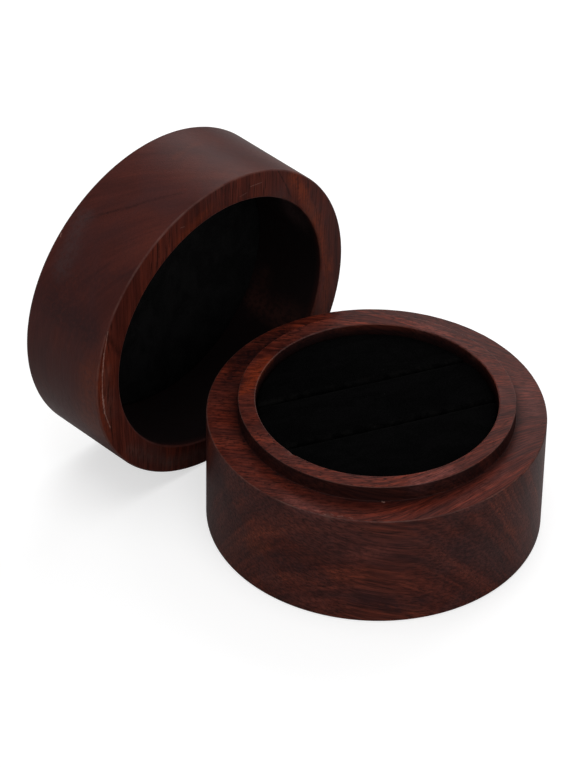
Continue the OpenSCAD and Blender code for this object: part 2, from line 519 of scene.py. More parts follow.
@dataclass(frozen=True)
class OiledWalnut:
    """Oiled walnut, cut from one blank whose grain and growth layers run its own way.

    The pairs streaks, pores and fibres are the shares on the round walls and on the flat faces.
    Wax is the oil film that shines: on the walls, and on the faces at both ends of wax_reach.
    """

    name: str
    grain: Point
    layers: Point
    shift: Point
    bend: float
    tones: tuple[Colour, Colour, Colour]
    cloud: Colour
    face_tint: Colour
    streaks: Pair
    pores: Pair
    fibres: Pair
    worn_amount: float
    wall_wax: float
    face_wax: Pair
    # Hollow is the dark colour that the inner layer mixes in: painted shade in the hollows, and a
    # darkening on the spigot's wall and round its foot.
    hollow: Colour
    marks: Sequence[Mark]
    converge: float = 0.0
    dip: float = 0.0
    layer: float = 2.4
    axis: Point = (0.0, 0.0, 1.0)
    cloud_share: float = 0.6
    wax_axis: Point = (0.10, 0.995, 0.0)
    wax_reach: Pair = (-2.0, 24.0)
    film_roughness: float = 0.36
    raw_shine: float = 0.02
    roughness: Pair = (0.42, 0.35)
    open_roughness: float = 0.2
    tool_pitch: float = 2.6
    tool_share: float = 0.25
    relief_strength: float = 0.35
    relief_depth: float = 0.06

    def axes(self) -> Matrix:
        """Returns the blank's axes as rows: along the grain, across it, and through the layers."""
        along = Vector(self.grain).normalized()
        through = Vector(self.layers)
        through = (through - through.dot(along) * along).normalized()
        return Matrix((along, through.cross(along), through))

    def lay(self, t: ShaderTree, point: Input, colour: Input, under: bool) -> Input:
        """Lays the marks onto a colour, one over the other.

        Args:
            t: The material's tree.
            point: The point on the piece, in millimetres.
            colour: The colour under them.
            under: Whether the patches under the grain are laid, or the marks over it.

        Returns:
            The colour with the marks on it.
        """
        for mark in self.marks:
            if (mark.kind is Kind.PATCH) != under:
                continue
            inputs = {"Point": point, "From": mark.start, "To": mark.end}
            inputs.update({"Width": mark.width, "Core": mark.kind.value})
            mask = t.group(Scratch.tree(), inputs)["Mask"]
            colour = t.mix(t.times(mask, mark.strength), colour, mark.colour)
        return colour

    def material(self) -> Material:
        """Builds the material: the colour, then the gloss, then the relief.

        Returns:
            The material.
        """
        material, t, shader = new_material(self.name)
        point = t.object_point()
        face, inner, worn = (t.attribute(name) for name in (FACE, INNER, WORN))
        blank = {
            "Point": t.place(point, self.axes(), shift=self.shift),
            "Bend": self.bend,
            "Converge": t.times(face, self.converge),
            "Dip": self.dip,
            "Layer": self.layer,
        }
        figure = t.group(GrainFigure.tree(), blank)
        wear = {"Point": point, "Worn": worn, "Amount": self.worn_amount}
        bare = t.group(WornEdge.tree(), wear)["Mask"]

        colour = t.ramp(figure["Layers"], self.tones)
        shade = t.ramp(figure["Streaks"], STREAK_SHADES)
        colour = t.mix(t.span(face, 0.0, 1.0, *self.streaks), colour, shade, "MULTIPLY")
        colour = t.mix(t.times(figure["Clouds"], self.cloud_share), colour, self.cloud)
        colour = self.lay(t, point, colour, under=True)
        fleck = t.ramp(figure["Fibres"], FIBRE_SHADES)
        colour = t.mix(t.span(face, 0.0, 1.0, *self.fibres), colour, fleck, "MULTIPLY")
        colour = t.mix(face, colour, t.mix(1.0, colour, self.face_tint, "MULTIPLY"))
        pores = t.times(figure["Pores"], t.span(face, 0.0, 1.0, *self.pores))
        # Painted shade: the hollows, and the other darkened stretches, are mixed towards the
        # hollow colour.
        colour = t.mix(inner, t.mix(pores, colour, PORE), self.hollow)
        colour = self.lay(t, point, colour, under=False)
        t.put(shader.inputs["Base Color"], t.mix(bare, colour, BARE_WOOD))

        rough = t.span(figure["Fibres"], 0.0, 1.0, *self.roughness)
        rough = t.plus(rough, t.times(pores, self.open_roughness))
        rough = t.plus(rough, t.times(bare, self.open_roughness))
        t.put(shader.inputs["Roughness"], rough)
        reach = t.measure("DOT_PRODUCT", point, self.wax_axis)
        film = t.times(face, t.span(reach, *self.wax_reach, *self.face_wax))
        film = t.plus(film, t.times(t.minus(1.0, face), self.wall_wax))
        polished = t.minus(1.0, t.math("MAXIMUM", inner, bare))
        t.put(shader.inputs["Coat Weight"], t.times(film, polished))
        shader.inputs["Coat Roughness"].default_value = self.film_roughness
        shader.inputs["Specular IOR Level"].default_value = self.raw_shine

        station = t.times(t.measure("DOT_PRODUCT", point, self.axis), self.tool_pitch)
        tool_marks = t.noise(t.join(station, 0.0, 0.0), 1.0, 2.0, 0.6)
        relief = t.plus(figure["Relief"], t.times(tool_marks, self.tool_share))
        t.emboss(shader, relief, self.relief_strength, self.relief_depth)
        return material


@dataclass(frozen=True)
class BlackVelvet:
    """Black velvet with a short pile, brushed along its turn in degrees."""

    name: str
    deep: Colour = (0.0005, 0.0005, 0.0005)
    raised: Colour = (0.0019, 0.0018, 0.0019)
    lint: Colour = (0.009, 0.0085, 0.008)
    turn: float = 0.0
    tuft_share: float = 0.55
    lint_share: float = 0.6
    raw_shine: float = 0.01
    sheen: float = 0.002
    sheen_roughness: float = 0.45

    def material(self) -> Material:
        """Builds the material.

        Returns:
            The material.
        """
        material, t, shader = new_material(self.name)
        point = t.place(t.object_point(), Matrix.Rotation(math.radians(self.turn), 3, "Z"))
        pile = t.group(Pile.tree(), {"Point": point})
        tufts = t.times(pile["Tufts"], self.tuft_share)
        raised = t.plus(tufts, t.times(pile["Brushed"], 1 - self.tuft_share))
        colour = t.mix(raised, self.deep, self.raised)
        patchy = t.span(t.noise(point, 0.5, 3.0, 0.7), 0.42, 0.62)
        colour = t.mix(t.times(t.attribute(RUFFLED), patchy), colour, self.lint)
        colour = t.mix(t.times(pile["Lint"], self.lint_share), colour, self.lint)
        t.put(shader.inputs["Base Color"], colour)
        t.put(shader.inputs["Roughness"], t.span(pile["Tufts"], 0.0, 1.0, 0.95, 0.82))
        shader.inputs["Specular IOR Level"].default_value = self.raw_shine
        shader.inputs["Sheen Weight"].default_value = self.sheen
        shader.inputs["Sheen Roughness"].default_value = self.sheen_roughness
        t.emboss(shader, pile["Tufts"], 0.5, 0.10)
        return material


@dataclass(frozen=True)
class OpenFoam:
    """Dark grey foam with open cells."""

    name: str
    wall: Colour = (0.075, 0.075, 0.080)
    cell: Colour = (0.018, 0.018, 0.020)
    cell_scale: float = 2.2

    def material(self) -> Material:
        """Builds the material.

        Returns:
            The material.
        """
        material, t, shader = new_material(self.name)
        point = t.object_point()
        inputs = {"Vector": point, "Scale": self.cell_scale}
        cells = t.node("ShaderNodeTexVoronoi", inputs, feature="SMOOTH_F1")
        hollow = t.span(cells.outputs["Distance"], 0.15, 0.55)
        t.put(shader.inputs["Base Color"], t.mix(hollow, self.cell, self.wall))
        t.put(shader.inputs["Roughness"], t.span(t.noise(point, 1.5), 0.3, 0.7, 0.85, 0.98))
        t.emboss(shader, hollow, 0.8, 0.2)
        return material


@dataclass(frozen=True)
class GreyBoard:
    """Stiff board pressed from short fibres."""

    name: str
    pulp: Colour = (0.235, 0.205, 0.165)
    fleck: Colour = (0.120, 0.100, 0.080)
    felting: Point = (1.2, 2.6, 1.2)

    def material(self) -> Material:
        """Builds the material.

        Returns:
            The material.
        """
        material, t, shader = new_material(self.name)
        felt = t.noise(t.object_point(), 1.0, 4.0, 0.7, 1.5, stretch=self.felting)
        t.put(shader.inputs["Base Color"], t.mix(t.span(felt, 0.35, 0.65), self.fleck, self.pulp))
        t.put(shader.inputs["Roughness"], t.span(felt, 0.3, 0.7, 0.95, 0.8))
        t.emboss(shader, felt, 0.4, 0.05)
        return material


# ---- Marks in the wood -----------------------------------------------------------------------
# Rows of three numbers for the start, three for the end, the width and the strength. LEDGE and
# TOP are the heights of the base's shoulder and spigot, and RIM is where the lid's rim lies in X.

# The SHADOW rows are painted shadow, where the lid shades the base, and the rows said below to be
# painted light or sheen stand in for light.
LEDGE, TOP, RIM = 20.8, 23.6, -27.8

BASE_MARKS: MarkTable = {
    (SHADOW, Kind.PATCH): (
        (-22.4, -12.0, LEDGE, -24.6, -4.8, LEDGE, 2.8, 0.8),
        (-24.6, -4.8, LEDGE, -25.4, 4.5, LEDGE, 3.0, 0.8),
        (-18.9, -2.5, TOP, -18.7, 3.5, TOP, 2.4, 0.75),
    ),
    (ROSE, Kind.PATCH): (
        (19.6, -10.5, TOP, 20.6, -4.8, TOP, 2.8, 0.8),
        (16.3, 9.2, TOP, 12.5, 14.5, TOP, 2.4, 0.4),
        (25.5, -6.0, LEDGE, 24.0, 3.0, LEDGE, 3.2, 0.25),
        (17.2, 19.0, LEDGE, 12.2, 23.1, LEDGE, 3.2, 0.3),
        (6.0, -25.6, LEDGE, 11.0, -24.4, LEDGE, 2.0, 0.55),
        (-8.8, 18.9, TOP, -4.0, 20.2, TOP, 2.2, 0.4),
    ),
    (TAN, Kind.PATCH): (
        (8.8, -26.0, 2.4, 13.0, -24.2, 2.9, 2.8, 0.4),
        (17.2, -21.4, 13.6, 20.0, -18.9, 15.3, 2.8, 0.5),
    ),
    (PURPLE, Kind.PATCH): (
        (21.0, -17.7, 4.4, 24.2, -13.0, 3.6, 2.4, 0.6),
        (4.6, -27.1, 8.9, 8.0, -26.3, 8.2, 2.6, 0.55),
        (9.1, -25.9, 8.3, 13.0, -24.2, 8.2, 3.0, 0.7),
        (17.0, -21.6, 4.2, 22.0, -16.5, 3.0, 2.2, 0.7),
        (26.3, -8.0, 14.0, 26.9, -5.6, 10.5, 3.2, 0.75),
        (22.9, -15.2, 19.5, 26.8, -6.2, 9.4, 1.3, 0.45),
        (-9.4, -25.8, 16.0, -5.8, -26.9, 12.0, 4.5, 0.7),
        (23.4, -3.0, TOP, 23.0, -1.0, TOP, 1.6, 0.6),
    ),
    (ORANGE, Kind.PATCH): (
        (-0.7, -27.5, 8.3, 3.5, -27.3, 10.2, 2.2, 0.45),
        (27.2, 4.2, 9.7, 27.4, 2.0, 12.0, 2.4, 0.35),
        (-19.0, -6.0, TOP, -16.0, -14.0, TOP, 3.0, 0.85),
    ),
    (BARE_WOOD, Kind.SCRATCH): (
        (16.5, -15.4, LEDGE, 16.8, -15.25, 20.85, 0.2, 0.7),
        (12.2, -24.2, 20.75, 12.7, -24.0, 20.75, 0.12, 0.4),
        (13.1, -23.3, LEDGE, 13.6, -23.2, LEDGE, 0.10, 0.35),
        (14.2, -22.9, LEDGE, 14.7, -22.4, LEDGE, 0.14, 0.4),
        (15.6, -21.9, LEDGE, 16.2, -21.6, LEDGE, 0.10, 0.35),
        (10.6, -24.6, LEDGE, 11.3, -24.2, LEDGE, 0.10, 0.3),
    ),
}

LID_MARKS: MarkTable = {
    (PURPLE, Kind.PATCH): (
        (-40.0, -33.5, 38.0, -31.5, -33.5, 37.0, 5.0, 0.85),
        (-40.1, -32.0, 41.5, -27.5, -27.5, 47.5, 3.4, 0.5),
    ),
    (ORANGE, Kind.PATCH): (
        (RIM, -11.0, 51.8, RIM, -17.5, 48.9, 1.8, 0.4),
        (-38.5, -8.4, 55.0, -39.7, -2.2, 54.4, 1.0, 0.25),
        # Painted light: the floor's bounce, lightening the lower side of the lid's wall.
        (-29.5, -35.3, 30.0, -30.5, -34.2, 18.5, 5.5, 0.6),
        (RIM, 7.5, 49.5, RIM, 13.2, 38.0, 2.4, 0.85),
        (RIM, 13.2, 38.0, RIM, 16.2, 26.0, 2.0, 0.7),
        (RIM, 16.2, 26.0, RIM, 15.6, 17.0, 1.8, 0.5),
    ),
    (DARK_LINE, Kind.PATCH): (
        (-42.0, -25.0, 49.2, -39.1, -22.5, 50.9, 0.45, 0.5),
        (-39.1, -22.5, 50.9, -36.4, -20.1, 52.2, 0.45, 0.55),
        (-36.4, -20.1, 52.2, -33.9, -16.9, 53.5, 0.45, 0.5),
        (-33.9, -16.9, 53.5, -31.2, -13.5, 54.4, 0.45, 0.35),
        (RIM, -33.1, 38.4, RIM, -30.6, 33.0, 1.0, 0.65),
        (RIM, -22.2, 52.0, RIM, -21.8, 47.8, 0.35, 0.6),
        (RIM, -20.0, 51.8, RIM, -19.6, 48.8, 0.25, 0.5),
        (RIM, -11.4, 54.0, RIM, -11.0, 51.4, 0.25, 0.6),
        (RIM, -9.4, 54.2, RIM, -9.2, 51.6, 0.2, 0.5),
        (RIM, -7.5, 54.0, RIM, -7.3, 50.8, 0.3, 0.6),
    ),
    (DUSK, Kind.PATCH): (
        # Painted sheen along the lid's wall near its closed end.
        (-42.5, -24.5, 49.3, -41.0, -30.5, 42.8, 3.4, 0.5),
        (RIM, -33.4, 31.0, RIM, -33.0, 22.0, 2.0, 0.4),
        (RIM, -28.6, 12.4, RIM, -20.0, 4.7, 2.6, 0.5),
        (RIM, -20.0, 4.7, RIM, -10.0, 2.2, 2.6, 0.5),
    ),
    (DARK_LINE, Kind.LINE): (
        (RIM, 4.3, 51.9, RIM, 6.1, 48.2, 0.22, 0.8),
        (RIM, 6.1, 48.2, RIM, 7.5, 44.7, 0.3, 0.7),
    ),
    # Painted light on the lid's hollow wall, low down near its floor.
    (PAINTED_LIGHT_BROWN, Kind.GLAZE): (
        (-40.5, 10.5, 15.5, -31.0, 11.2, 15.2, 5.0, 0.42),
        (-40.0, 13.0, 20.5, -40.0, 11.0, 16.0, 3.2, 0.3),
    ),
    # Painted light on the upper right of the lid's hollow wall.
    (DUSK, Kind.GLAZE): (
        (-33.0, 13.0, 37.0, -31.0, 6.0, 45.0, 7.0, 0.9),
    ),
    (BARE_WOOD, Kind.SCRATCH): (
        (-44.4, -27.8, 46.6, -44.2, -28.1, 46.3, 0.2, 0.5),
        (RIM, -1.9, 51.8, RIM, 0.6, 51.4, 0.11, 0.35),
        (RIM, -4.2, 50.9, RIM, -2.6, 51.0, 0.09, 0.25),
        (RIM, -17.1, 51.2, RIM, -16.3, 51.05, 0.12, 0.3),
    ),
}


# ---- Mesh work -------------------------------------------------------------------------------


def mesh_of(bm: BMesh, name: str) -> Mesh:
    """Returns a mesh with a bmesh's shape, and frees the bmesh."""
    mesh = bpy.data.meshes.new(name)
    bm.to_mesh(mesh)
    bm.free()
    return mesh


def new_object(name: str, data: Optional[bpy.types.ID]) -> Piece:
    """Returns a new object that is in the scene."""
    made = bpy.data.objects.new(name, data)
    bpy.context.scene.collection.objects.link(made)
    return made


def evaluated(piece: Piece) -> Piece:
    """Returns the object as its modifiers leave it."""
    return piece.evaluated_get(bpy.context.evaluated_depsgraph_get())


def draw_section(points: Sequence[Pair]) -> tuple[BMesh, list[bmesh.types.BMVert]]:
    """Draws a half section as a line of vertices.

    Args:
        points: Radii and heights, in order, in millimetres.

    Returns:
        The mesh and its vertices.
    """
    bm = bmesh.new()
    line = [bm.verts.new((radius * MM, 0, height * MM)) for radius, height in points]
    for a, b in zip(line, line[1:]):
        bm.edges.new((a, b))
    return bm, line


def round_off(bm: BMesh, geom: Sequence, size: float, affect: str = "EDGES") -> None:
    """Rounds edges or corners off.

    Args:
        bm: The shape.
        geom: The edges, or the vertices.
        size: The radius in millimetres.
        affect: EDGES or VERTICES.
    """
    arc = {"offset": size * MM, "segments": ARC_STEPS, "profile": 0.5, "material": -1}
    bmesh.ops.bevel(bm, geom=list(geom), affect=affect, clamp_overlap=affect == "EDGES", **arc)


def spin_round(bm: BMesh, steps: int) -> None:
    """Spins a half section round Z, and closes its seam and its poles.

    Args:
        bm: The half section, which becomes the whole shape.
        steps: The steps of the full turn.
    """
    turn = {"cent": (0, 0, 0), "axis": (0, 0, 1), "angle": 2 * math.pi}
    bmesh.ops.spin(bm, geom=bm.verts[:] + bm.edges[:], steps=steps, use_merge=True, **turn)
    bmesh.ops.remove_doubles(bm, verts=bm.verts, dist=1e-7)
    bmesh.ops.recalc_face_normals(bm, faces=bm.faces)


def mouth_along_x(node: str) -> Matrix:
    """Returns the matrix that lays a spun shape's axis along X, from a node's low X end."""
    low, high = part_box(node)
    centre = Vector((low[0], (low[1] + high[1]) / 2, (low[2] + high[2]) / 2))
    return Matrix.Translation(centre) @ Matrix.Rotation(math.pi / 2, 4, "Y")


def finished_piece(
    shape: Union[BMesh, Mesh], name: str, material: Material, body: Body, node: str
) -> Piece:
    """Makes a piece at the origin, with its place in its mesh.

    Args:
        shape: The shape, in metres, in the row frame. A bmesh is freed.
        name: The piece's name.
        material: Its finish.
        body: The body that it rides on.
        node: The CAD node that it replaces.

    Returns:
        The piece.
    """
    mesh = mesh_of(shape, name) if isinstance(shape, BMesh) else shape
    mesh.name = name
    mesh.polygons.foreach_set("use_smooth", [True] * len(mesh.polygons))
    mesh.materials.clear()
    mesh.materials.append(material)
    piece = new_object(name, mesh)
    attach(piece, body.value)
    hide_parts(node)
    LOG.info("%s: %d faces, on %s", name, len(mesh.polygons), body.value)
    return piece


def dress_node(node: str, material: Material) -> None:
    """Gives a CAD node that stays its finish.

    Args:
        node: The node's name.
        material: The finish.
    """
    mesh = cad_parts[node].data
    mesh.materials.clear()
    mesh.materials.append(material)
    LOG.info("%s: finished with %s", node, material.name)


# ---- Turned pieces ---------------------------------------------------------------------------


@dataclass(frozen=True)
class Corner:
    """One corner of a turned outline, at a radius and a height.

    Its shade darkens the stretch to the next corner, as painted shade where the stretch lies in a
    hollow. The field after it says how far the colour darkens round the corner itself.
    """

    radius: float
    height: float
    rounding: float = 0.0
    worn: float = 0.0
    shade: float = 0.0
    darkening_reach: float = 0.0

    def gap(self, co: Vector) -> float:
        """Returns how far a point of the outline lies from the corner, in millimetres."""
        return math.hypot(co.x / MM - self.radius, co.z / MM - self.height)

    def leads_to(self, after: "Corner", co: Vector, slack: float = 0.01) -> bool:
        """Says whether a point lies on the stretch from this corner to the next.

        Args:
            after: The next corner.
            co: The point, in metres.
            slack: How far off the stretch it may lie, in millimetres.

        Returns:
            Whether it does.
        """
        spans = ((self.radius, after.radius, co.x), (self.height, after.height, co.z))
        return all(min(a, b) - slack < value / MM < max(a, b) + slack for a, b, value in spans)


@dataclass(frozen=True)
class Nick:
    """A small dent in an edge, in the row frame, in millimetres."""

    at: Point
    size: float
    depth: float
    towards: Point


@dataclass
class TurnedCup:
    """A wooden cup turned on a lathe: an outline with rounded corners, spun round its axis."""

    name: str
    node: str
    body: Body
    radius: float
    turns: int = 480
    step: float = 1.1
    seam: float = 0.12
    level: float = 0.004
    unevenness: float = 0.018
    worn_reach: float = 0.75
    # How strongly, and how steeply, the colour darkens round a corner that has a reach.
    darkening_share: float = 0.7
    darkening_fade: float = 1.4
    shade_fade: float = 0.6
    nick_wear: float = 0.6

    def corners(self) -> tuple[Corner, ...]:
        """Returns the corners of the half section, from the closed end to the cup's floor."""
        raise NotImplementedError

    def finish(self) -> OiledWalnut:
        """Returns the wood that the cup is turned from."""
        raise NotImplementedError

    def nicks(self) -> tuple[Nick, ...]:
        """Returns the dents in the edges, of which a cup may have none."""
        return ()

    def place(self) -> Matrix:
        """Returns the matrix that carries the spun shape to its place, which may be no move."""
        return Matrix.Identity(4)

    def outline(self) -> BMesh:
        """Draws the half section, rounds its corners and divides its straight stretches.

        Returns:
            The line, with each vertex's wear, darkness and flatness in layers of their own.
        """
        corners = self.corners()
        bm, line = draw_section([(corner.radius, corner.height) for corner in corners])
        for corner, vert in zip(corners, line):
            if corner.rounding:
                round_off(bm, [vert], corner.rounding, "VERTICES")
        for edge in [e for e in bm.edges if e.calc_length() > 4 * self.seam * MM]:
            self.divide(bm, edge)
        for name, say in ((WORN, self.wear_at), (INNER, self.inner_at), (FACE, self.face_at)):
            layer = bm.verts.layers.float.new(name)
            for vert in bm.verts:
                vert[layer] = say(vert.co)
        return bm

    def divide(self, bm: BMesh, edge: bmesh.types.BMEdge) -> None:
        """Cuts a straight stretch next to its ends, which keeps its face flat, and in between.

        Args:
            bm: The line.
            edge: The stretch.
        """
        seam = self.seam * MM
        near, _ = bmesh.utils.edge_split(edge, edge.verts[0], seam / edge.calc_length())
        rest = max((edge, near), key=lambda e: e.calc_length())
        far, _ = bmesh.utils.edge_split(rest, rest.verts[0], 1 - seam / rest.calc_length())
        middle = max((rest, far), key=lambda e: e.calc_length())
        cuts = int(middle.calc_length() / (self.step * MM))
        if cuts:
            bmesh.ops.subdivide_edges(bm, edges=[middle], cuts=cuts)

    def wear_at(self, co: Vector) -> float:
        """Says how worn a point of the outline is.

        Args:
            co: The point, in metres.

        Returns:
            The wear, from 0 to 1.
        """
        for corner in self.corners():
            if corner.worn and corner.gap(co) < corner.rounding * self.worn_reach:
                return corner.worn
        return 0.0

    def inner_at(self, co: Vector) -> float:
        """Says how dark a point of the outline is painted, where the oil film is also left off:
        painted shade down the hollows, and a darkening on the spigot's wall and round its foot.

        Args:
            co: The point, in metres.

        Returns:
            The share of the dark tone, from 0 to 1.
        """
        share = 0.0
        corners = self.corners()
        for corner, after in zip(corners, corners[1:]):
            gap = corner.gap(co)
            if corner.darkening_reach:
                darkening = max(0.0, 1 - gap / corner.darkening_reach) ** self.darkening_fade
                share = max(share, self.darkening_share * darkening)
            if corner.shade and corner.leads_to(after, co):
                share = max(share, corner.shade * min(1.0, gap / self.shade_fade))
        return share

    def face_at(self, co: Vector) -> float:
        """Returns 1 on the faces that are square to the axis, and 0 on walls and roundings."""
        return float(any(abs(co.z / MM - c.height) < self.level for c in self.corners()))

    def mark(self, bm: BMesh) -> None:
        """Moves the surface by hand: a hint of unevenness on worn edges, and the nicks.

        Args:
            bm: The cup, in the row frame.
        """
        worn = bm.verts.layers.float[WORN]
        nicks = self.nicks()
        bm.normal_update()
        for vert in bm.verts:
            point = vert.co / MM
            if vert[worn]:
                sag = 1 + noise.noise(point * 0.9)
                vert.co -= vert.normal * self.unevenness * sag * vert[worn] * MM
            for nick in nicks:
                gap = (point - Vector(nick.at)).length / nick.size
                if gap < 1:
                    bite = (1 - gap * gap) ** 2 * (0.7 + 0.3 * noise.noise(point * 2.7))
                    vert.co += Vector(nick.towards).normalized() * nick.depth * bite * MM
                    vert[worn] = max(vert[worn], min(self.nick_wear, bite))

    def make(self) -> Piece:
        """Builds and finishes the cup.

        Returns:
            The piece.
        """
        bm = self.outline()
        spin_round(bm, self.turns)
        bmesh.ops.transform(bm, matrix=self.place(), verts=bm.verts)
        self.mark(bm)
        material = self.finish().material()
        return finished_piece(bm, self.name, material, self.body, self.node)


@dataclass
class WoodenBase(TurnedCup):
    """The base: its wall, its shoulder, and its spigot round the recess for the pad."""

    name: str = "base_turned"
    node: str = "base_cup"
    body: Body = Body.BASE
    radius: float = 27.5
    shoulder: float = LEDGE
    spigot_radius: float = 22.4
    spigot_top: float = TOP
    recess_radius: float = 19.6
    floor: float = 5.0

    def corners(self) -> tuple[Corner, ...]:
        """Returns the corners of the half section, from the foot to the floor of the recess."""
        return (
            Corner(0, 0),
            Corner(self.radius, 0, 0.35, 0.3),
            Corner(self.radius, self.shoulder, 0.2, 0.9),
            # The spigot's wall is darkened, and so is the shoulder round its foot.
            Corner(self.spigot_radius, self.shoulder, 0.12, shade=0.68, darkening_reach=2.0),
            Corner(self.spigot_radius, self.spigot_top, 0.15, 0.6),
            # Painted shade down the recess's wall and over its floor.
            Corner(self.recess_radius, self.spigot_top, 0.18, 0.55, shade=0.88),
            Corner(self.recess_radius, self.floor, shade=0.9),
            Corner(0, self.floor),
        )

    def nicks(self) -> tuple[Nick, ...]:
        """Returns the dents in the spigot's inner edge and in the shoulder."""
        return (
            Nick((0.76, -19.7, self.spigot_top), 0.9, 0.22, (0, -0.5, -1)),
            Nick((3.05, 19.6, self.spigot_top), 0.8, 0.18, (0, 0.5, -1)),
            Nick((13.3, -24.0, self.shoulder), 1.1, 0.16, (-0.4, 0.7, -0.6)),
            Nick((15.4, -22.7, self.shoulder), 0.9, 0.12, (-0.4, 0.7, -0.6)),
        )

    def finish(self) -> OiledWalnut:
        """Returns the base's walnut, with strong pores and patches of many tones."""
        return OiledWalnut(
            "base_walnut",
            grain=(0.7076, 0.7066, -0.22),
            layers=(0.0, 0.0, 1.0),
            shift=(3.0, -6.0, 11.0),
            bend=3.5,
            converge=0.7,
            dip=1.7,
            tones=((0.036, 0.0095, 0.0075), (0.076, 0.0160, 0.0105), (0.120, 0.0260, 0.0150)),
            cloud=(0.050, 0.0185, 0.0175),
            hollow=(0.0065, 0.0045, 0.0048),
            face_tint=(1.25, 0.93, 0.78),
            streaks=(0.42, 0.72),
            pores=(0.55, 0.85),
            fibres=(0.70, 0.75),
            worn_amount=0.2,
            wall_wax=0.16,
            face_wax=(0.05, 0.19),
            marks=marks_of(BASE_MARKS),
        )


@dataclass
class WoodenLid(TurnedCup):
    """The lid, which stands on its round wall with its mouth towards +X."""

    name: str = "lid_turned"
    node: str = "lid_cup"
    body: Body = Body.LID
    radius: float = 27.5
    depth: float = 17.2
    hollow_radius: float = 22.6
    floor: float = 2.1
    axis_y: float = -8.0

    def corners(self) -> tuple[Corner, ...]:
        """Returns the corners of the half section, from the closed end to the hollow's floor."""
        return (
            Corner(0, 0),
            Corner(self.radius, 0, 0.6, 0.3),
            Corner(self.radius, self.depth, 0.28, 0.6),
            # Painted shade over the hollow's wall and floor.
            Corner(self.hollow_radius, self.depth, 0.3, 0.6, shade=0.95),
            Corner(self.hollow_radius, self.floor, shade=0.95),
            Corner(0, self.floor),
        )

    def place(self) -> Matrix:
        """Returns the matrix that lays the axis along X, where the frame's node has it."""
        return mouth_along_x(self.node)

    def worn_arc(self) -> list[Mark]:
        """Lays short pale marks end to end round the rim, as one long scratch.

        Returns:
            The marks.
        """
        turns = (155.5, 164.0, 173.0, 181.5, 190.0, 198.5)
        radii = (27.3, 26.8, 26.45, 26.3, 26.3, 26.1)
        points = []
        for turn, radius in zip(map(math.radians, turns), radii):
            y = self.axis_y + radius * math.cos(turn)
            points.append((RIM, y, self.radius + radius * math.sin(turn)))
        widths = (0.13, 0.20, 0.16, 0.24, 0.14)
        strengths = (0.55, 0.85, 0.65, 0.90, 0.60)
        return list(map(Mark, points, points[1:], widths, strengths))

    def finish(self) -> OiledWalnut:
        """Returns the lid's walnut, with a quiet wall, and a dull hollow painted dark as shade."""
        return OiledWalnut(
            "lid_walnut",
            grain=(0.0, 0.0, 1.0),
            layers=(0.73, -0.69, 0.0),
            shift=(40.0, 12.0, -3.0),
            bend=2.2,
            layer=4.2,
            tones=((0.050, 0.0125, 0.0100), (0.068, 0.0155, 0.0115), (0.088, 0.0200, 0.0135)),
            cloud=(0.050, 0.0165, 0.0160),
            hollow=(0.0105, 0.0082, 0.0086),
            face_tint=(1.24, 1.06, 0.90),
            streaks=(0.15, 0.5),
            pores=(0.12, 0.6),
            fibres=(0.12, 0.42),
            worn_amount=0.22,
            wall_wax=0.19,
            face_wax=(0.09, 0.18),
            axis=(1.0, 0.0, 0.0),
            marks=marks_of(LID_MARKS) + self.worn_arc(),
        )


# ---- Soft pieces -----------------------------------------------------------------------------


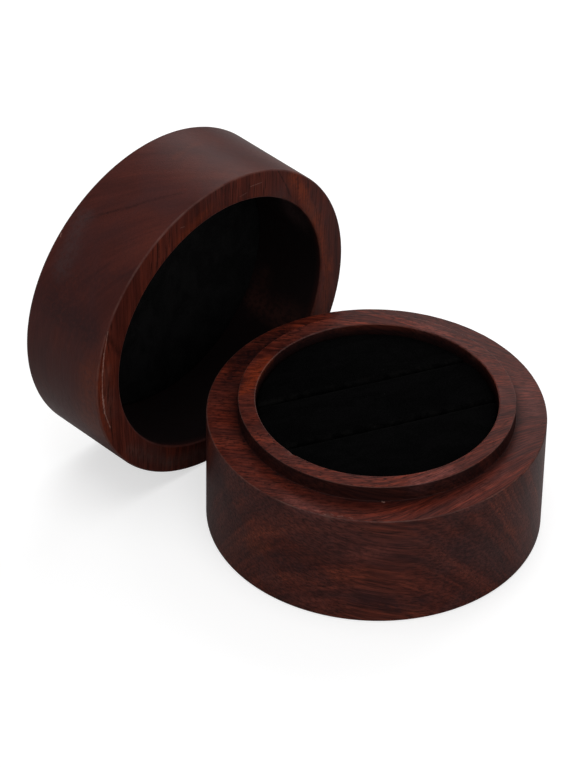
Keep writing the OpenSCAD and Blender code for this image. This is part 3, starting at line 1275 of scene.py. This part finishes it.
@dataclass
class Cushion:
    """One velvet-covered foam cushion that fills a band of the round recess.

    Low and high are its two sides, measured square to the slots. None means the round wall.
    """

    name: str
    node: str
    low: Optional[float]
    high: Optional[float]
    seat: float = 5.8
    angle: float = 66.5
    radius: float = 19.45
    height: float = 16.35
    crown: float = 0.3
    edge: float = 0.32
    corner: float = 0.7
    draw: float = 0.04
    draw_reach: float = 2.5
    voxel: float = 0.5
    bench: float = 20.0
    pressure: float = 4.0
    stiffness: float = 20.0
    bending: float = 1.5
    held_height: float = 1.2
    swell_top: float = 0.22
    swell_side: float = 0.13
    lump: float = 0.10
    dimple: float = 0.025
    level_rim: float = 1.5
    ruffle: float = 0.9
    ruffle_share: float = 0.45
    fill: float = 0.8
    frames: int = 20

    def block(self) -> BMesh:
        """Cuts the block from a round slab, and rounds its upright corners and its rims.

        Returns:
            The block, in metres, standing at the origin with its slots along X.
        """
        bm = bmesh.new()
        bmesh.ops.create_circle(bm, cap_ends=True, segments=144, radius=self.radius * MM)
        for limit, side in ((self.low, -1), (self.high, 1)):
            if limit is not None:
                bmesh.ops.bisect_plane(
                    bm,
                    geom=bm.verts[:] + bm.edges[:] + bm.faces[:],
                    plane_co=(0, limit * MM, 0),
                    plane_no=(0, side, 0),
                    clear_outer=True,
                )
        grown = bmesh.ops.extrude_face_region(bm, geom=bm.faces[:])
        top = [g for g in grown["geom"] if isinstance(g, bmesh.types.BMVert)]
        bmesh.ops.translate(bm, verts=top, vec=(0, 0, self.height * MM))
        bmesh.ops.recalc_face_normals(bm, faces=bm.faces)
        sharp = [e for e in bm.edges if self.is_upright(e) and e.calc_face_angle(0) > 0.5]
        round_off(bm, sharp, self.corner)
        near_top = self.height * MM * 0.9
        rims = [e for e in bm.edges if not self.is_upright(e) and e.verts[0].co.z > near_top]
        round_off(bm, rims, self.edge)
        return bm

    @staticmethod
    def is_upright(edge: bmesh.types.BMEdge) -> bool:
        """Says whether an edge runs up the block's side."""
        return abs(edge.verts[0].co.z - edge.verts[1].co.z) > MM

    def sides(self) -> Pair:
        """Returns the two sides, with the round wall where there is no slot."""
        return self.low or -self.radius, self.high or self.radius

    def inset(self, co: Vector) -> float:
        """Measures how far a point lies inside the cushion's outline.

        Args:
            co: The point, in millimetres, with the slots along X.

        Returns:
            The distance to the outline.
        """
        gaps = [self.radius - math.hypot(co.x, co.y)]
        if self.low is not None:
            gaps.append(co.y - self.low)
        if self.high is not None:
            gaps.append(self.high - co.y)
        return min(gaps)

    def shape(self, mesh: Mesh) -> None:
        """Raises the crown and draws the sides in at the top and the bottom.

        Args:
            mesh: The remeshed block, at bench scale.
        """
        size = MM * self.bench
        low, high = self.sides()
        for vert in mesh.vertices:
            co = vert.co / size
            inside = self.inset(co)
            rise = unit((inside - self.draw) / ((high - low) / 2))
            share = unit(co.z / self.height)
            lift = self.crown * (1 - (1 - rise) ** 2) * max(0.0, (share - 0.75) / 0.25)
            pull = self.draw * (1 - math.sin(math.pi * share))
            pull *= max(0.0, 1 - inside / self.draw_reach)
            inwards = Vector((0, (low + high) / 2, co.z)) - co
            towards = inwards.normalized() if inwards.length > 1e-6 else Vector()
            vert.co = (co + towards * pull + Vector((0, 0, lift))) * size

    def swell(self, piece: Piece) -> None:
        """Blows the cover up by a cloth simulation, with its foot held, and caps each move.

        Args:
            piece: The cushion at bench scale. Its mesh is changed.
        """
        size = MM * self.bench
        foot = [v.index for v in piece.data.vertices if v.co.z < self.held_height * size]
        held = piece.vertex_groups.new(name="held")
        held.add(foot, 1.0, "REPLACE")
        cloth = piece.modifiers.new("Cloth", "CLOTH")
        cloth.settings.use_pressure = True
        cloth.settings.uniform_pressure_force = self.pressure
        cloth.settings.effector_weights.gravity = 0.0
        cloth.settings.vertex_group_mass = held.name
        cloth.settings.tension_stiffness = self.stiffness
        cloth.settings.compression_stiffness = self.stiffness
        cloth.settings.bending_stiffness = self.bending
        cloth.point_cache.frame_start, cloth.point_cache.frame_end = 1, self.frames
        scene = bpy.context.scene
        for number in range(1, self.frames + 1):
            scene.frame_set(number)
        for vert, new in zip(piece.data.vertices, evaluated(piece).data.vertices):
            move = new.co - vert.co
            top = unit((vert.co.z / size / self.height - 0.85) / 0.15)
            most = (self.swell_side + (self.swell_top - self.swell_side) * top) * size
            if move.length > most:
                move *= most / move.length
            vert.co += move
        piece.modifiers.remove(cloth)
        piece.vertex_groups.clear()
        scene.frame_set(1)

    def settle(self, mesh: Mesh) -> None:
        """Gives the top the foam's slight unevenness, and puts the cushion in its place.

        The pile is ruffled along the slots.

        Args:
            mesh: The cushion at bench scale, which ends in metres in the row frame.
        """
        turn = Matrix.Rotation(math.radians(self.angle), 4, "Z")
        place = Matrix.Translation((0, 0, self.seat * MM)) @ turn
        ruffled = mesh.attributes.new(RUFFLED, "FLOAT", "POINT").data
        slots = [limit for limit in (self.low, self.high) if limit is not None]
        for vert in mesh.vertices:
            co = vert.co / (MM * self.bench)
            share = unit((co.z / self.height - 0.9) / 0.1)
            inside = max(self.inset(co), 0.0)
            lumps = noise.noise(Vector((co.x * 0.16, co.y * 0.3, self.low or 7.0)))
            dimples = noise.noise(Vector((co.x * 0.7, co.y * 0.7, self.high or 3.0)))
            rise = self.lump * lumps + self.dimple * dimples
            co.z += rise * share * min(1.0, inside / self.level_rim)
            gap = min(abs(co.y - slot) for slot in slots)
            ruffling = self.ruffle_share * share * max(0.0, 1 - gap / self.ruffle)
            ruffled[vert.index].value = ruffling
            vert.co = place @ (co * MM)

    def build(self) -> Mesh:
        """Builds the cushion: block, remesh, crown, swelling and the hand's last touches.

        Returns:
            The mesh, in the row frame.
        """
        bm = self.block()
        bmesh.ops.scale(bm, vec=(self.bench,) * 3, verts=bm.verts)
        rough = mesh_of(bm, self.name + "_rough")
        bench_piece = new_object(rough.name, rough)
        remesh = bench_piece.modifiers.new("Remesh", "REMESH")
        remesh.mode = "VOXEL"
        remesh.voxel_size = self.voxel * MM * self.bench
        even = bpy.data.meshes.new_from_object(evaluated(bench_piece))
        bench_piece.modifiers.clear()
        bench_piece.data = even
        self.shape(even)
        self.swell(bench_piece)
        self.settle(even)
        bpy.data.objects.remove(bench_piece)
        bpy.data.meshes.remove(rough)
        return even

    def make(self, material: Material) -> Piece:
        """Builds and finishes the cushion.

        Args:
            material: The velvet.

        Returns:
            The piece.
        """
        mesh = self.build()
        piece = finished_piece(mesh, self.name, material, Body.BASE, self.node)
        smooth = piece.modifiers.new("Subdivision", "SUBSURF")
        smooth.levels = smooth.render_levels = 1
        return piece


@dataclass
class RingPad:
    """The ring pad: a card, and three cushions side by side with a slot between each two."""

    spacing: float = 11.5
    shift: float = 0.8
    slot: float = 0.3
    velvet: BlackVelvet = BlackVelvet("pad_velvet", turn=-66.5)

    def make(self) -> None:
        """Builds the cushions, and finishes the foam and the card under them."""
        back, front = self.shift + self.spacing / 2, self.shift - self.spacing / 2
        gap = self.slot / 2
        velvet = self.velvet.material()
        foam = OpenFoam("pad_foam").material()
        for node in ("foam_back", "foam_middle", "foam_front"):
            dress_node(node, foam)
        dress_node("pad_card", GreyBoard("pad_board").material())
        Cushion("cushion_back", "velvet_back", back + gap, None).make(velvet)
        Cushion("cushion_middle", "velvet_middle", front + gap, back - gap).make(velvet)
        Cushion("cushion_front", "velvet_front", None, front - gap).make(velvet)


@dataclass
class LidLining:
    """The lid's lining: velvet drawn over a round card, its edge tucked under."""

    name: str = "lid_lining"
    node: str = "lining_velvet"
    radius: float = 22.42
    thickness: float = 0.8
    crown: float = 0.22
    sag: float = 0.05
    edge: float = 0.38
    rings: int = 36
    turns: int = 240
    tucks: int = 46
    tuck_depth: float = 0.035
    fill: float = 0.9
    velvet: BlackVelvet = BlackVelvet(
        "lining_pile",
        (0.0034, 0.0034, 0.0035),
        (0.0110, 0.0106, 0.0108),
        (0.036, 0.034, 0.032),
    )

    def build(self) -> BMesh:
        """Spins a thin disc with a soft edge, then crowns it and gathers its edge.

        Returns:
            The lining, in the row frame.
        """
        top, side = self.thickness, self.radius
        bm, line = draw_section([(0, 0), (side, 0), (side, top), (0, top)])
        round_off(bm, [line[2]], self.edge, "VERTICES")
        flats = [e for e in bm.edges if e.calc_length() > 3 * MM]
        bmesh.ops.subdivide_edges(bm, edges=flats, cuts=self.rings)
        spin_round(bm, self.turns)
        for vert in bm.verts:
            self.drape(vert)
        bmesh.ops.transform(bm, matrix=mouth_along_x(self.node), verts=bm.verts)
        return bm

    def drape(self, vert: bmesh.types.BMVert) -> None:
        """Moves one point of the flat disc to where the stretched velvet has it.

        Args:
            vert: The point.
        """
        point = vert.co / MM
        if point.z < self.thickness * 0.4:
            return
        share = math.hypot(point.x, point.y) / self.radius
        turn = math.atan2(point.y, point.x)
        sag = self.sag * noise.noise(Vector((point.x * 0.2, point.y * 0.2, 1.0)))
        rise = self.crown * (1 - share**4) + sag
        waver = 3 * noise.noise(Vector((turn, 0.0, 5.0)))
        gather = self.tuck_depth * math.sin(turn * self.tucks + waver)
        lift = rise * min(1.0, (1 - share) * 12) + gather * max(0.0, share - 0.9) * 8
        vert.co.z += lift * MM

    def make(self) -> None:
        """Builds and finishes the lining, and its card."""
        velvet = self.velvet.material()
        piece = finished_piece(self.build(), self.name, velvet, Body.LID, self.node)
        dress_node("lining_card", GreyBoard("lining_board").material())


# ---- Studio ----------------------------------------------------------------------------------


@dataclass(frozen=True)
class Softbox:
    """A square lamp that looks at the object. Its sizes are in metres."""

    name: str
    towards: Point
    distance: float
    size: float
    radiance: float

    def make(self, target: Vector) -> None:
        """Adds the lamp.

        Args:
            target: The point that it looks at.
        """
        lamp = bpy.data.lights.new(self.name, "AREA")
        lamp.shape = "SQUARE"
        lamp.size = self.size
        lamp.energy = self.radiance * math.pi * self.size**2
        direction = Vector(self.towards).normalized()
        holder = new_object(self.name, lamp)
        holder.location = target + direction * self.distance
        holder.rotation_mode = "QUATERNION"
        holder.rotation_quaternion = direction.to_track_quat("Z", "Y")


@dataclass
class Studio:
    """A white floor, soft lamps, and the camera at the photograph's angle, in metres."""

    target: Point = (-0.01, 0.0, 0.02)
    floor_size: float = 3.0
    floor_colour: Colour = (0.55, 0.55, 0.55)
    floor_lift: float = 0.62
    sky: float = 0.32
    eye: Point = (0.345448, -0.362903, 0.421734)
    forward: Point = (-0.557168, 0.552661, -0.619782)
    up: Point = (-0.451586, 0.424698, 0.784667)
    lens: float = 186.48
    sensor: float = 36.0
    clip: Pair = (0.01, 20.0)
    lamps: tuple[Softbox, ...] = (
        Softbox("back_softbox", (-0.35, 0.75, 0.62), 1.0, 0.75, 2.3),
        Softbox("top_softbox", (0.05, -0.15, 1.0), 1.1, 0.70, 2.8),
        Softbox("front_softbox", (0.90, -0.15, 0.50), 1.2, 0.70, 1.7),
    )

    def make(self) -> None:
        """Sets the studio up."""
        self.floor()
        self.world()
        for lamp in self.lamps:
            lamp.make(Vector(self.target))
        self.camera()
        bpy.context.scene.view_settings.view_transform = "Standard"

    def floor(self) -> None:
        """Lays a wide floor that a camera sees as white, with the object's shadow on it."""
        bm = bmesh.new()
        bmesh.ops.create_grid(bm, x_segments=8, y_segments=8, size=self.floor_size / 2)
        mesh = mesh_of(bm, "floor")
        material, t, shader = new_material("white_floor")
        output = material.node_tree.nodes["Material Output"]
        material.node_tree.nodes.remove(shader)
        lit = t.node("ShaderNodeBsdfDiffuse", {"Color": self.floor_colour})
        glow = t.node("ShaderNodeEmission", {"Color": (1, 1, 1), "Strength": self.floor_lift})
        seen = t.node("ShaderNodeAddShader", {0: lit.outputs[0], 1: glow.outputs[0]})
        camera_ray = t.node("ShaderNodeLightPath").outputs["Is Camera Ray"]
        sides = {0: camera_ray, 1: lit.outputs[0], 2: seen.outputs[0]}
        t.put(output.inputs["Surface"], t.node("ShaderNodeMixShader", sides).outputs[0])
        mesh.materials.append(material)
        new_object("floor", mesh)

    def world(self) -> None:
        """Surrounds the object with an even grey, which a camera sees as white."""
        world = bpy.data.worlds.new("studio")
        bpy.context.scene.world = world
        world.use_nodes = True
        t = ShaderTree(world.node_tree)
        camera_ray = t.node("ShaderNodeLightPath").outputs["Is Camera Ray"]
        background = world.node_tree.nodes["Background"]
        t.put(background.inputs["Color"], (1, 1, 1))
        t.put(background.inputs["Strength"], t.span(camera_ray, 0.0, 1.0, self.sky, 1.0))

    def camera(self) -> None:
        """Sets the camera where the photograph was taken from."""
        data = bpy.data.cameras.new("camera")
        data.sensor_width = self.sensor
        data.lens = self.lens
        data.clip_start, data.clip_end = self.clip
        camera = new_object("camera", data)
        back = -Vector(self.forward).normalized()
        right = Vector(self.up).cross(back).normalized()
        turn = Matrix((right, back.cross(right), back)).transposed().to_4x4()
        camera.matrix_world = Matrix.Translation(self.eye) @ turn
        bpy.context.scene.camera = camera


def main() -> None:
    """Builds the box piece by piece, then the studio round it."""
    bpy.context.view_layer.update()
    WoodenBase().make()
    RingPad().make()
    WoodenLid().make()
    LidLining().make()
    Studio().make()


if __name__ == "__main__":
    main()
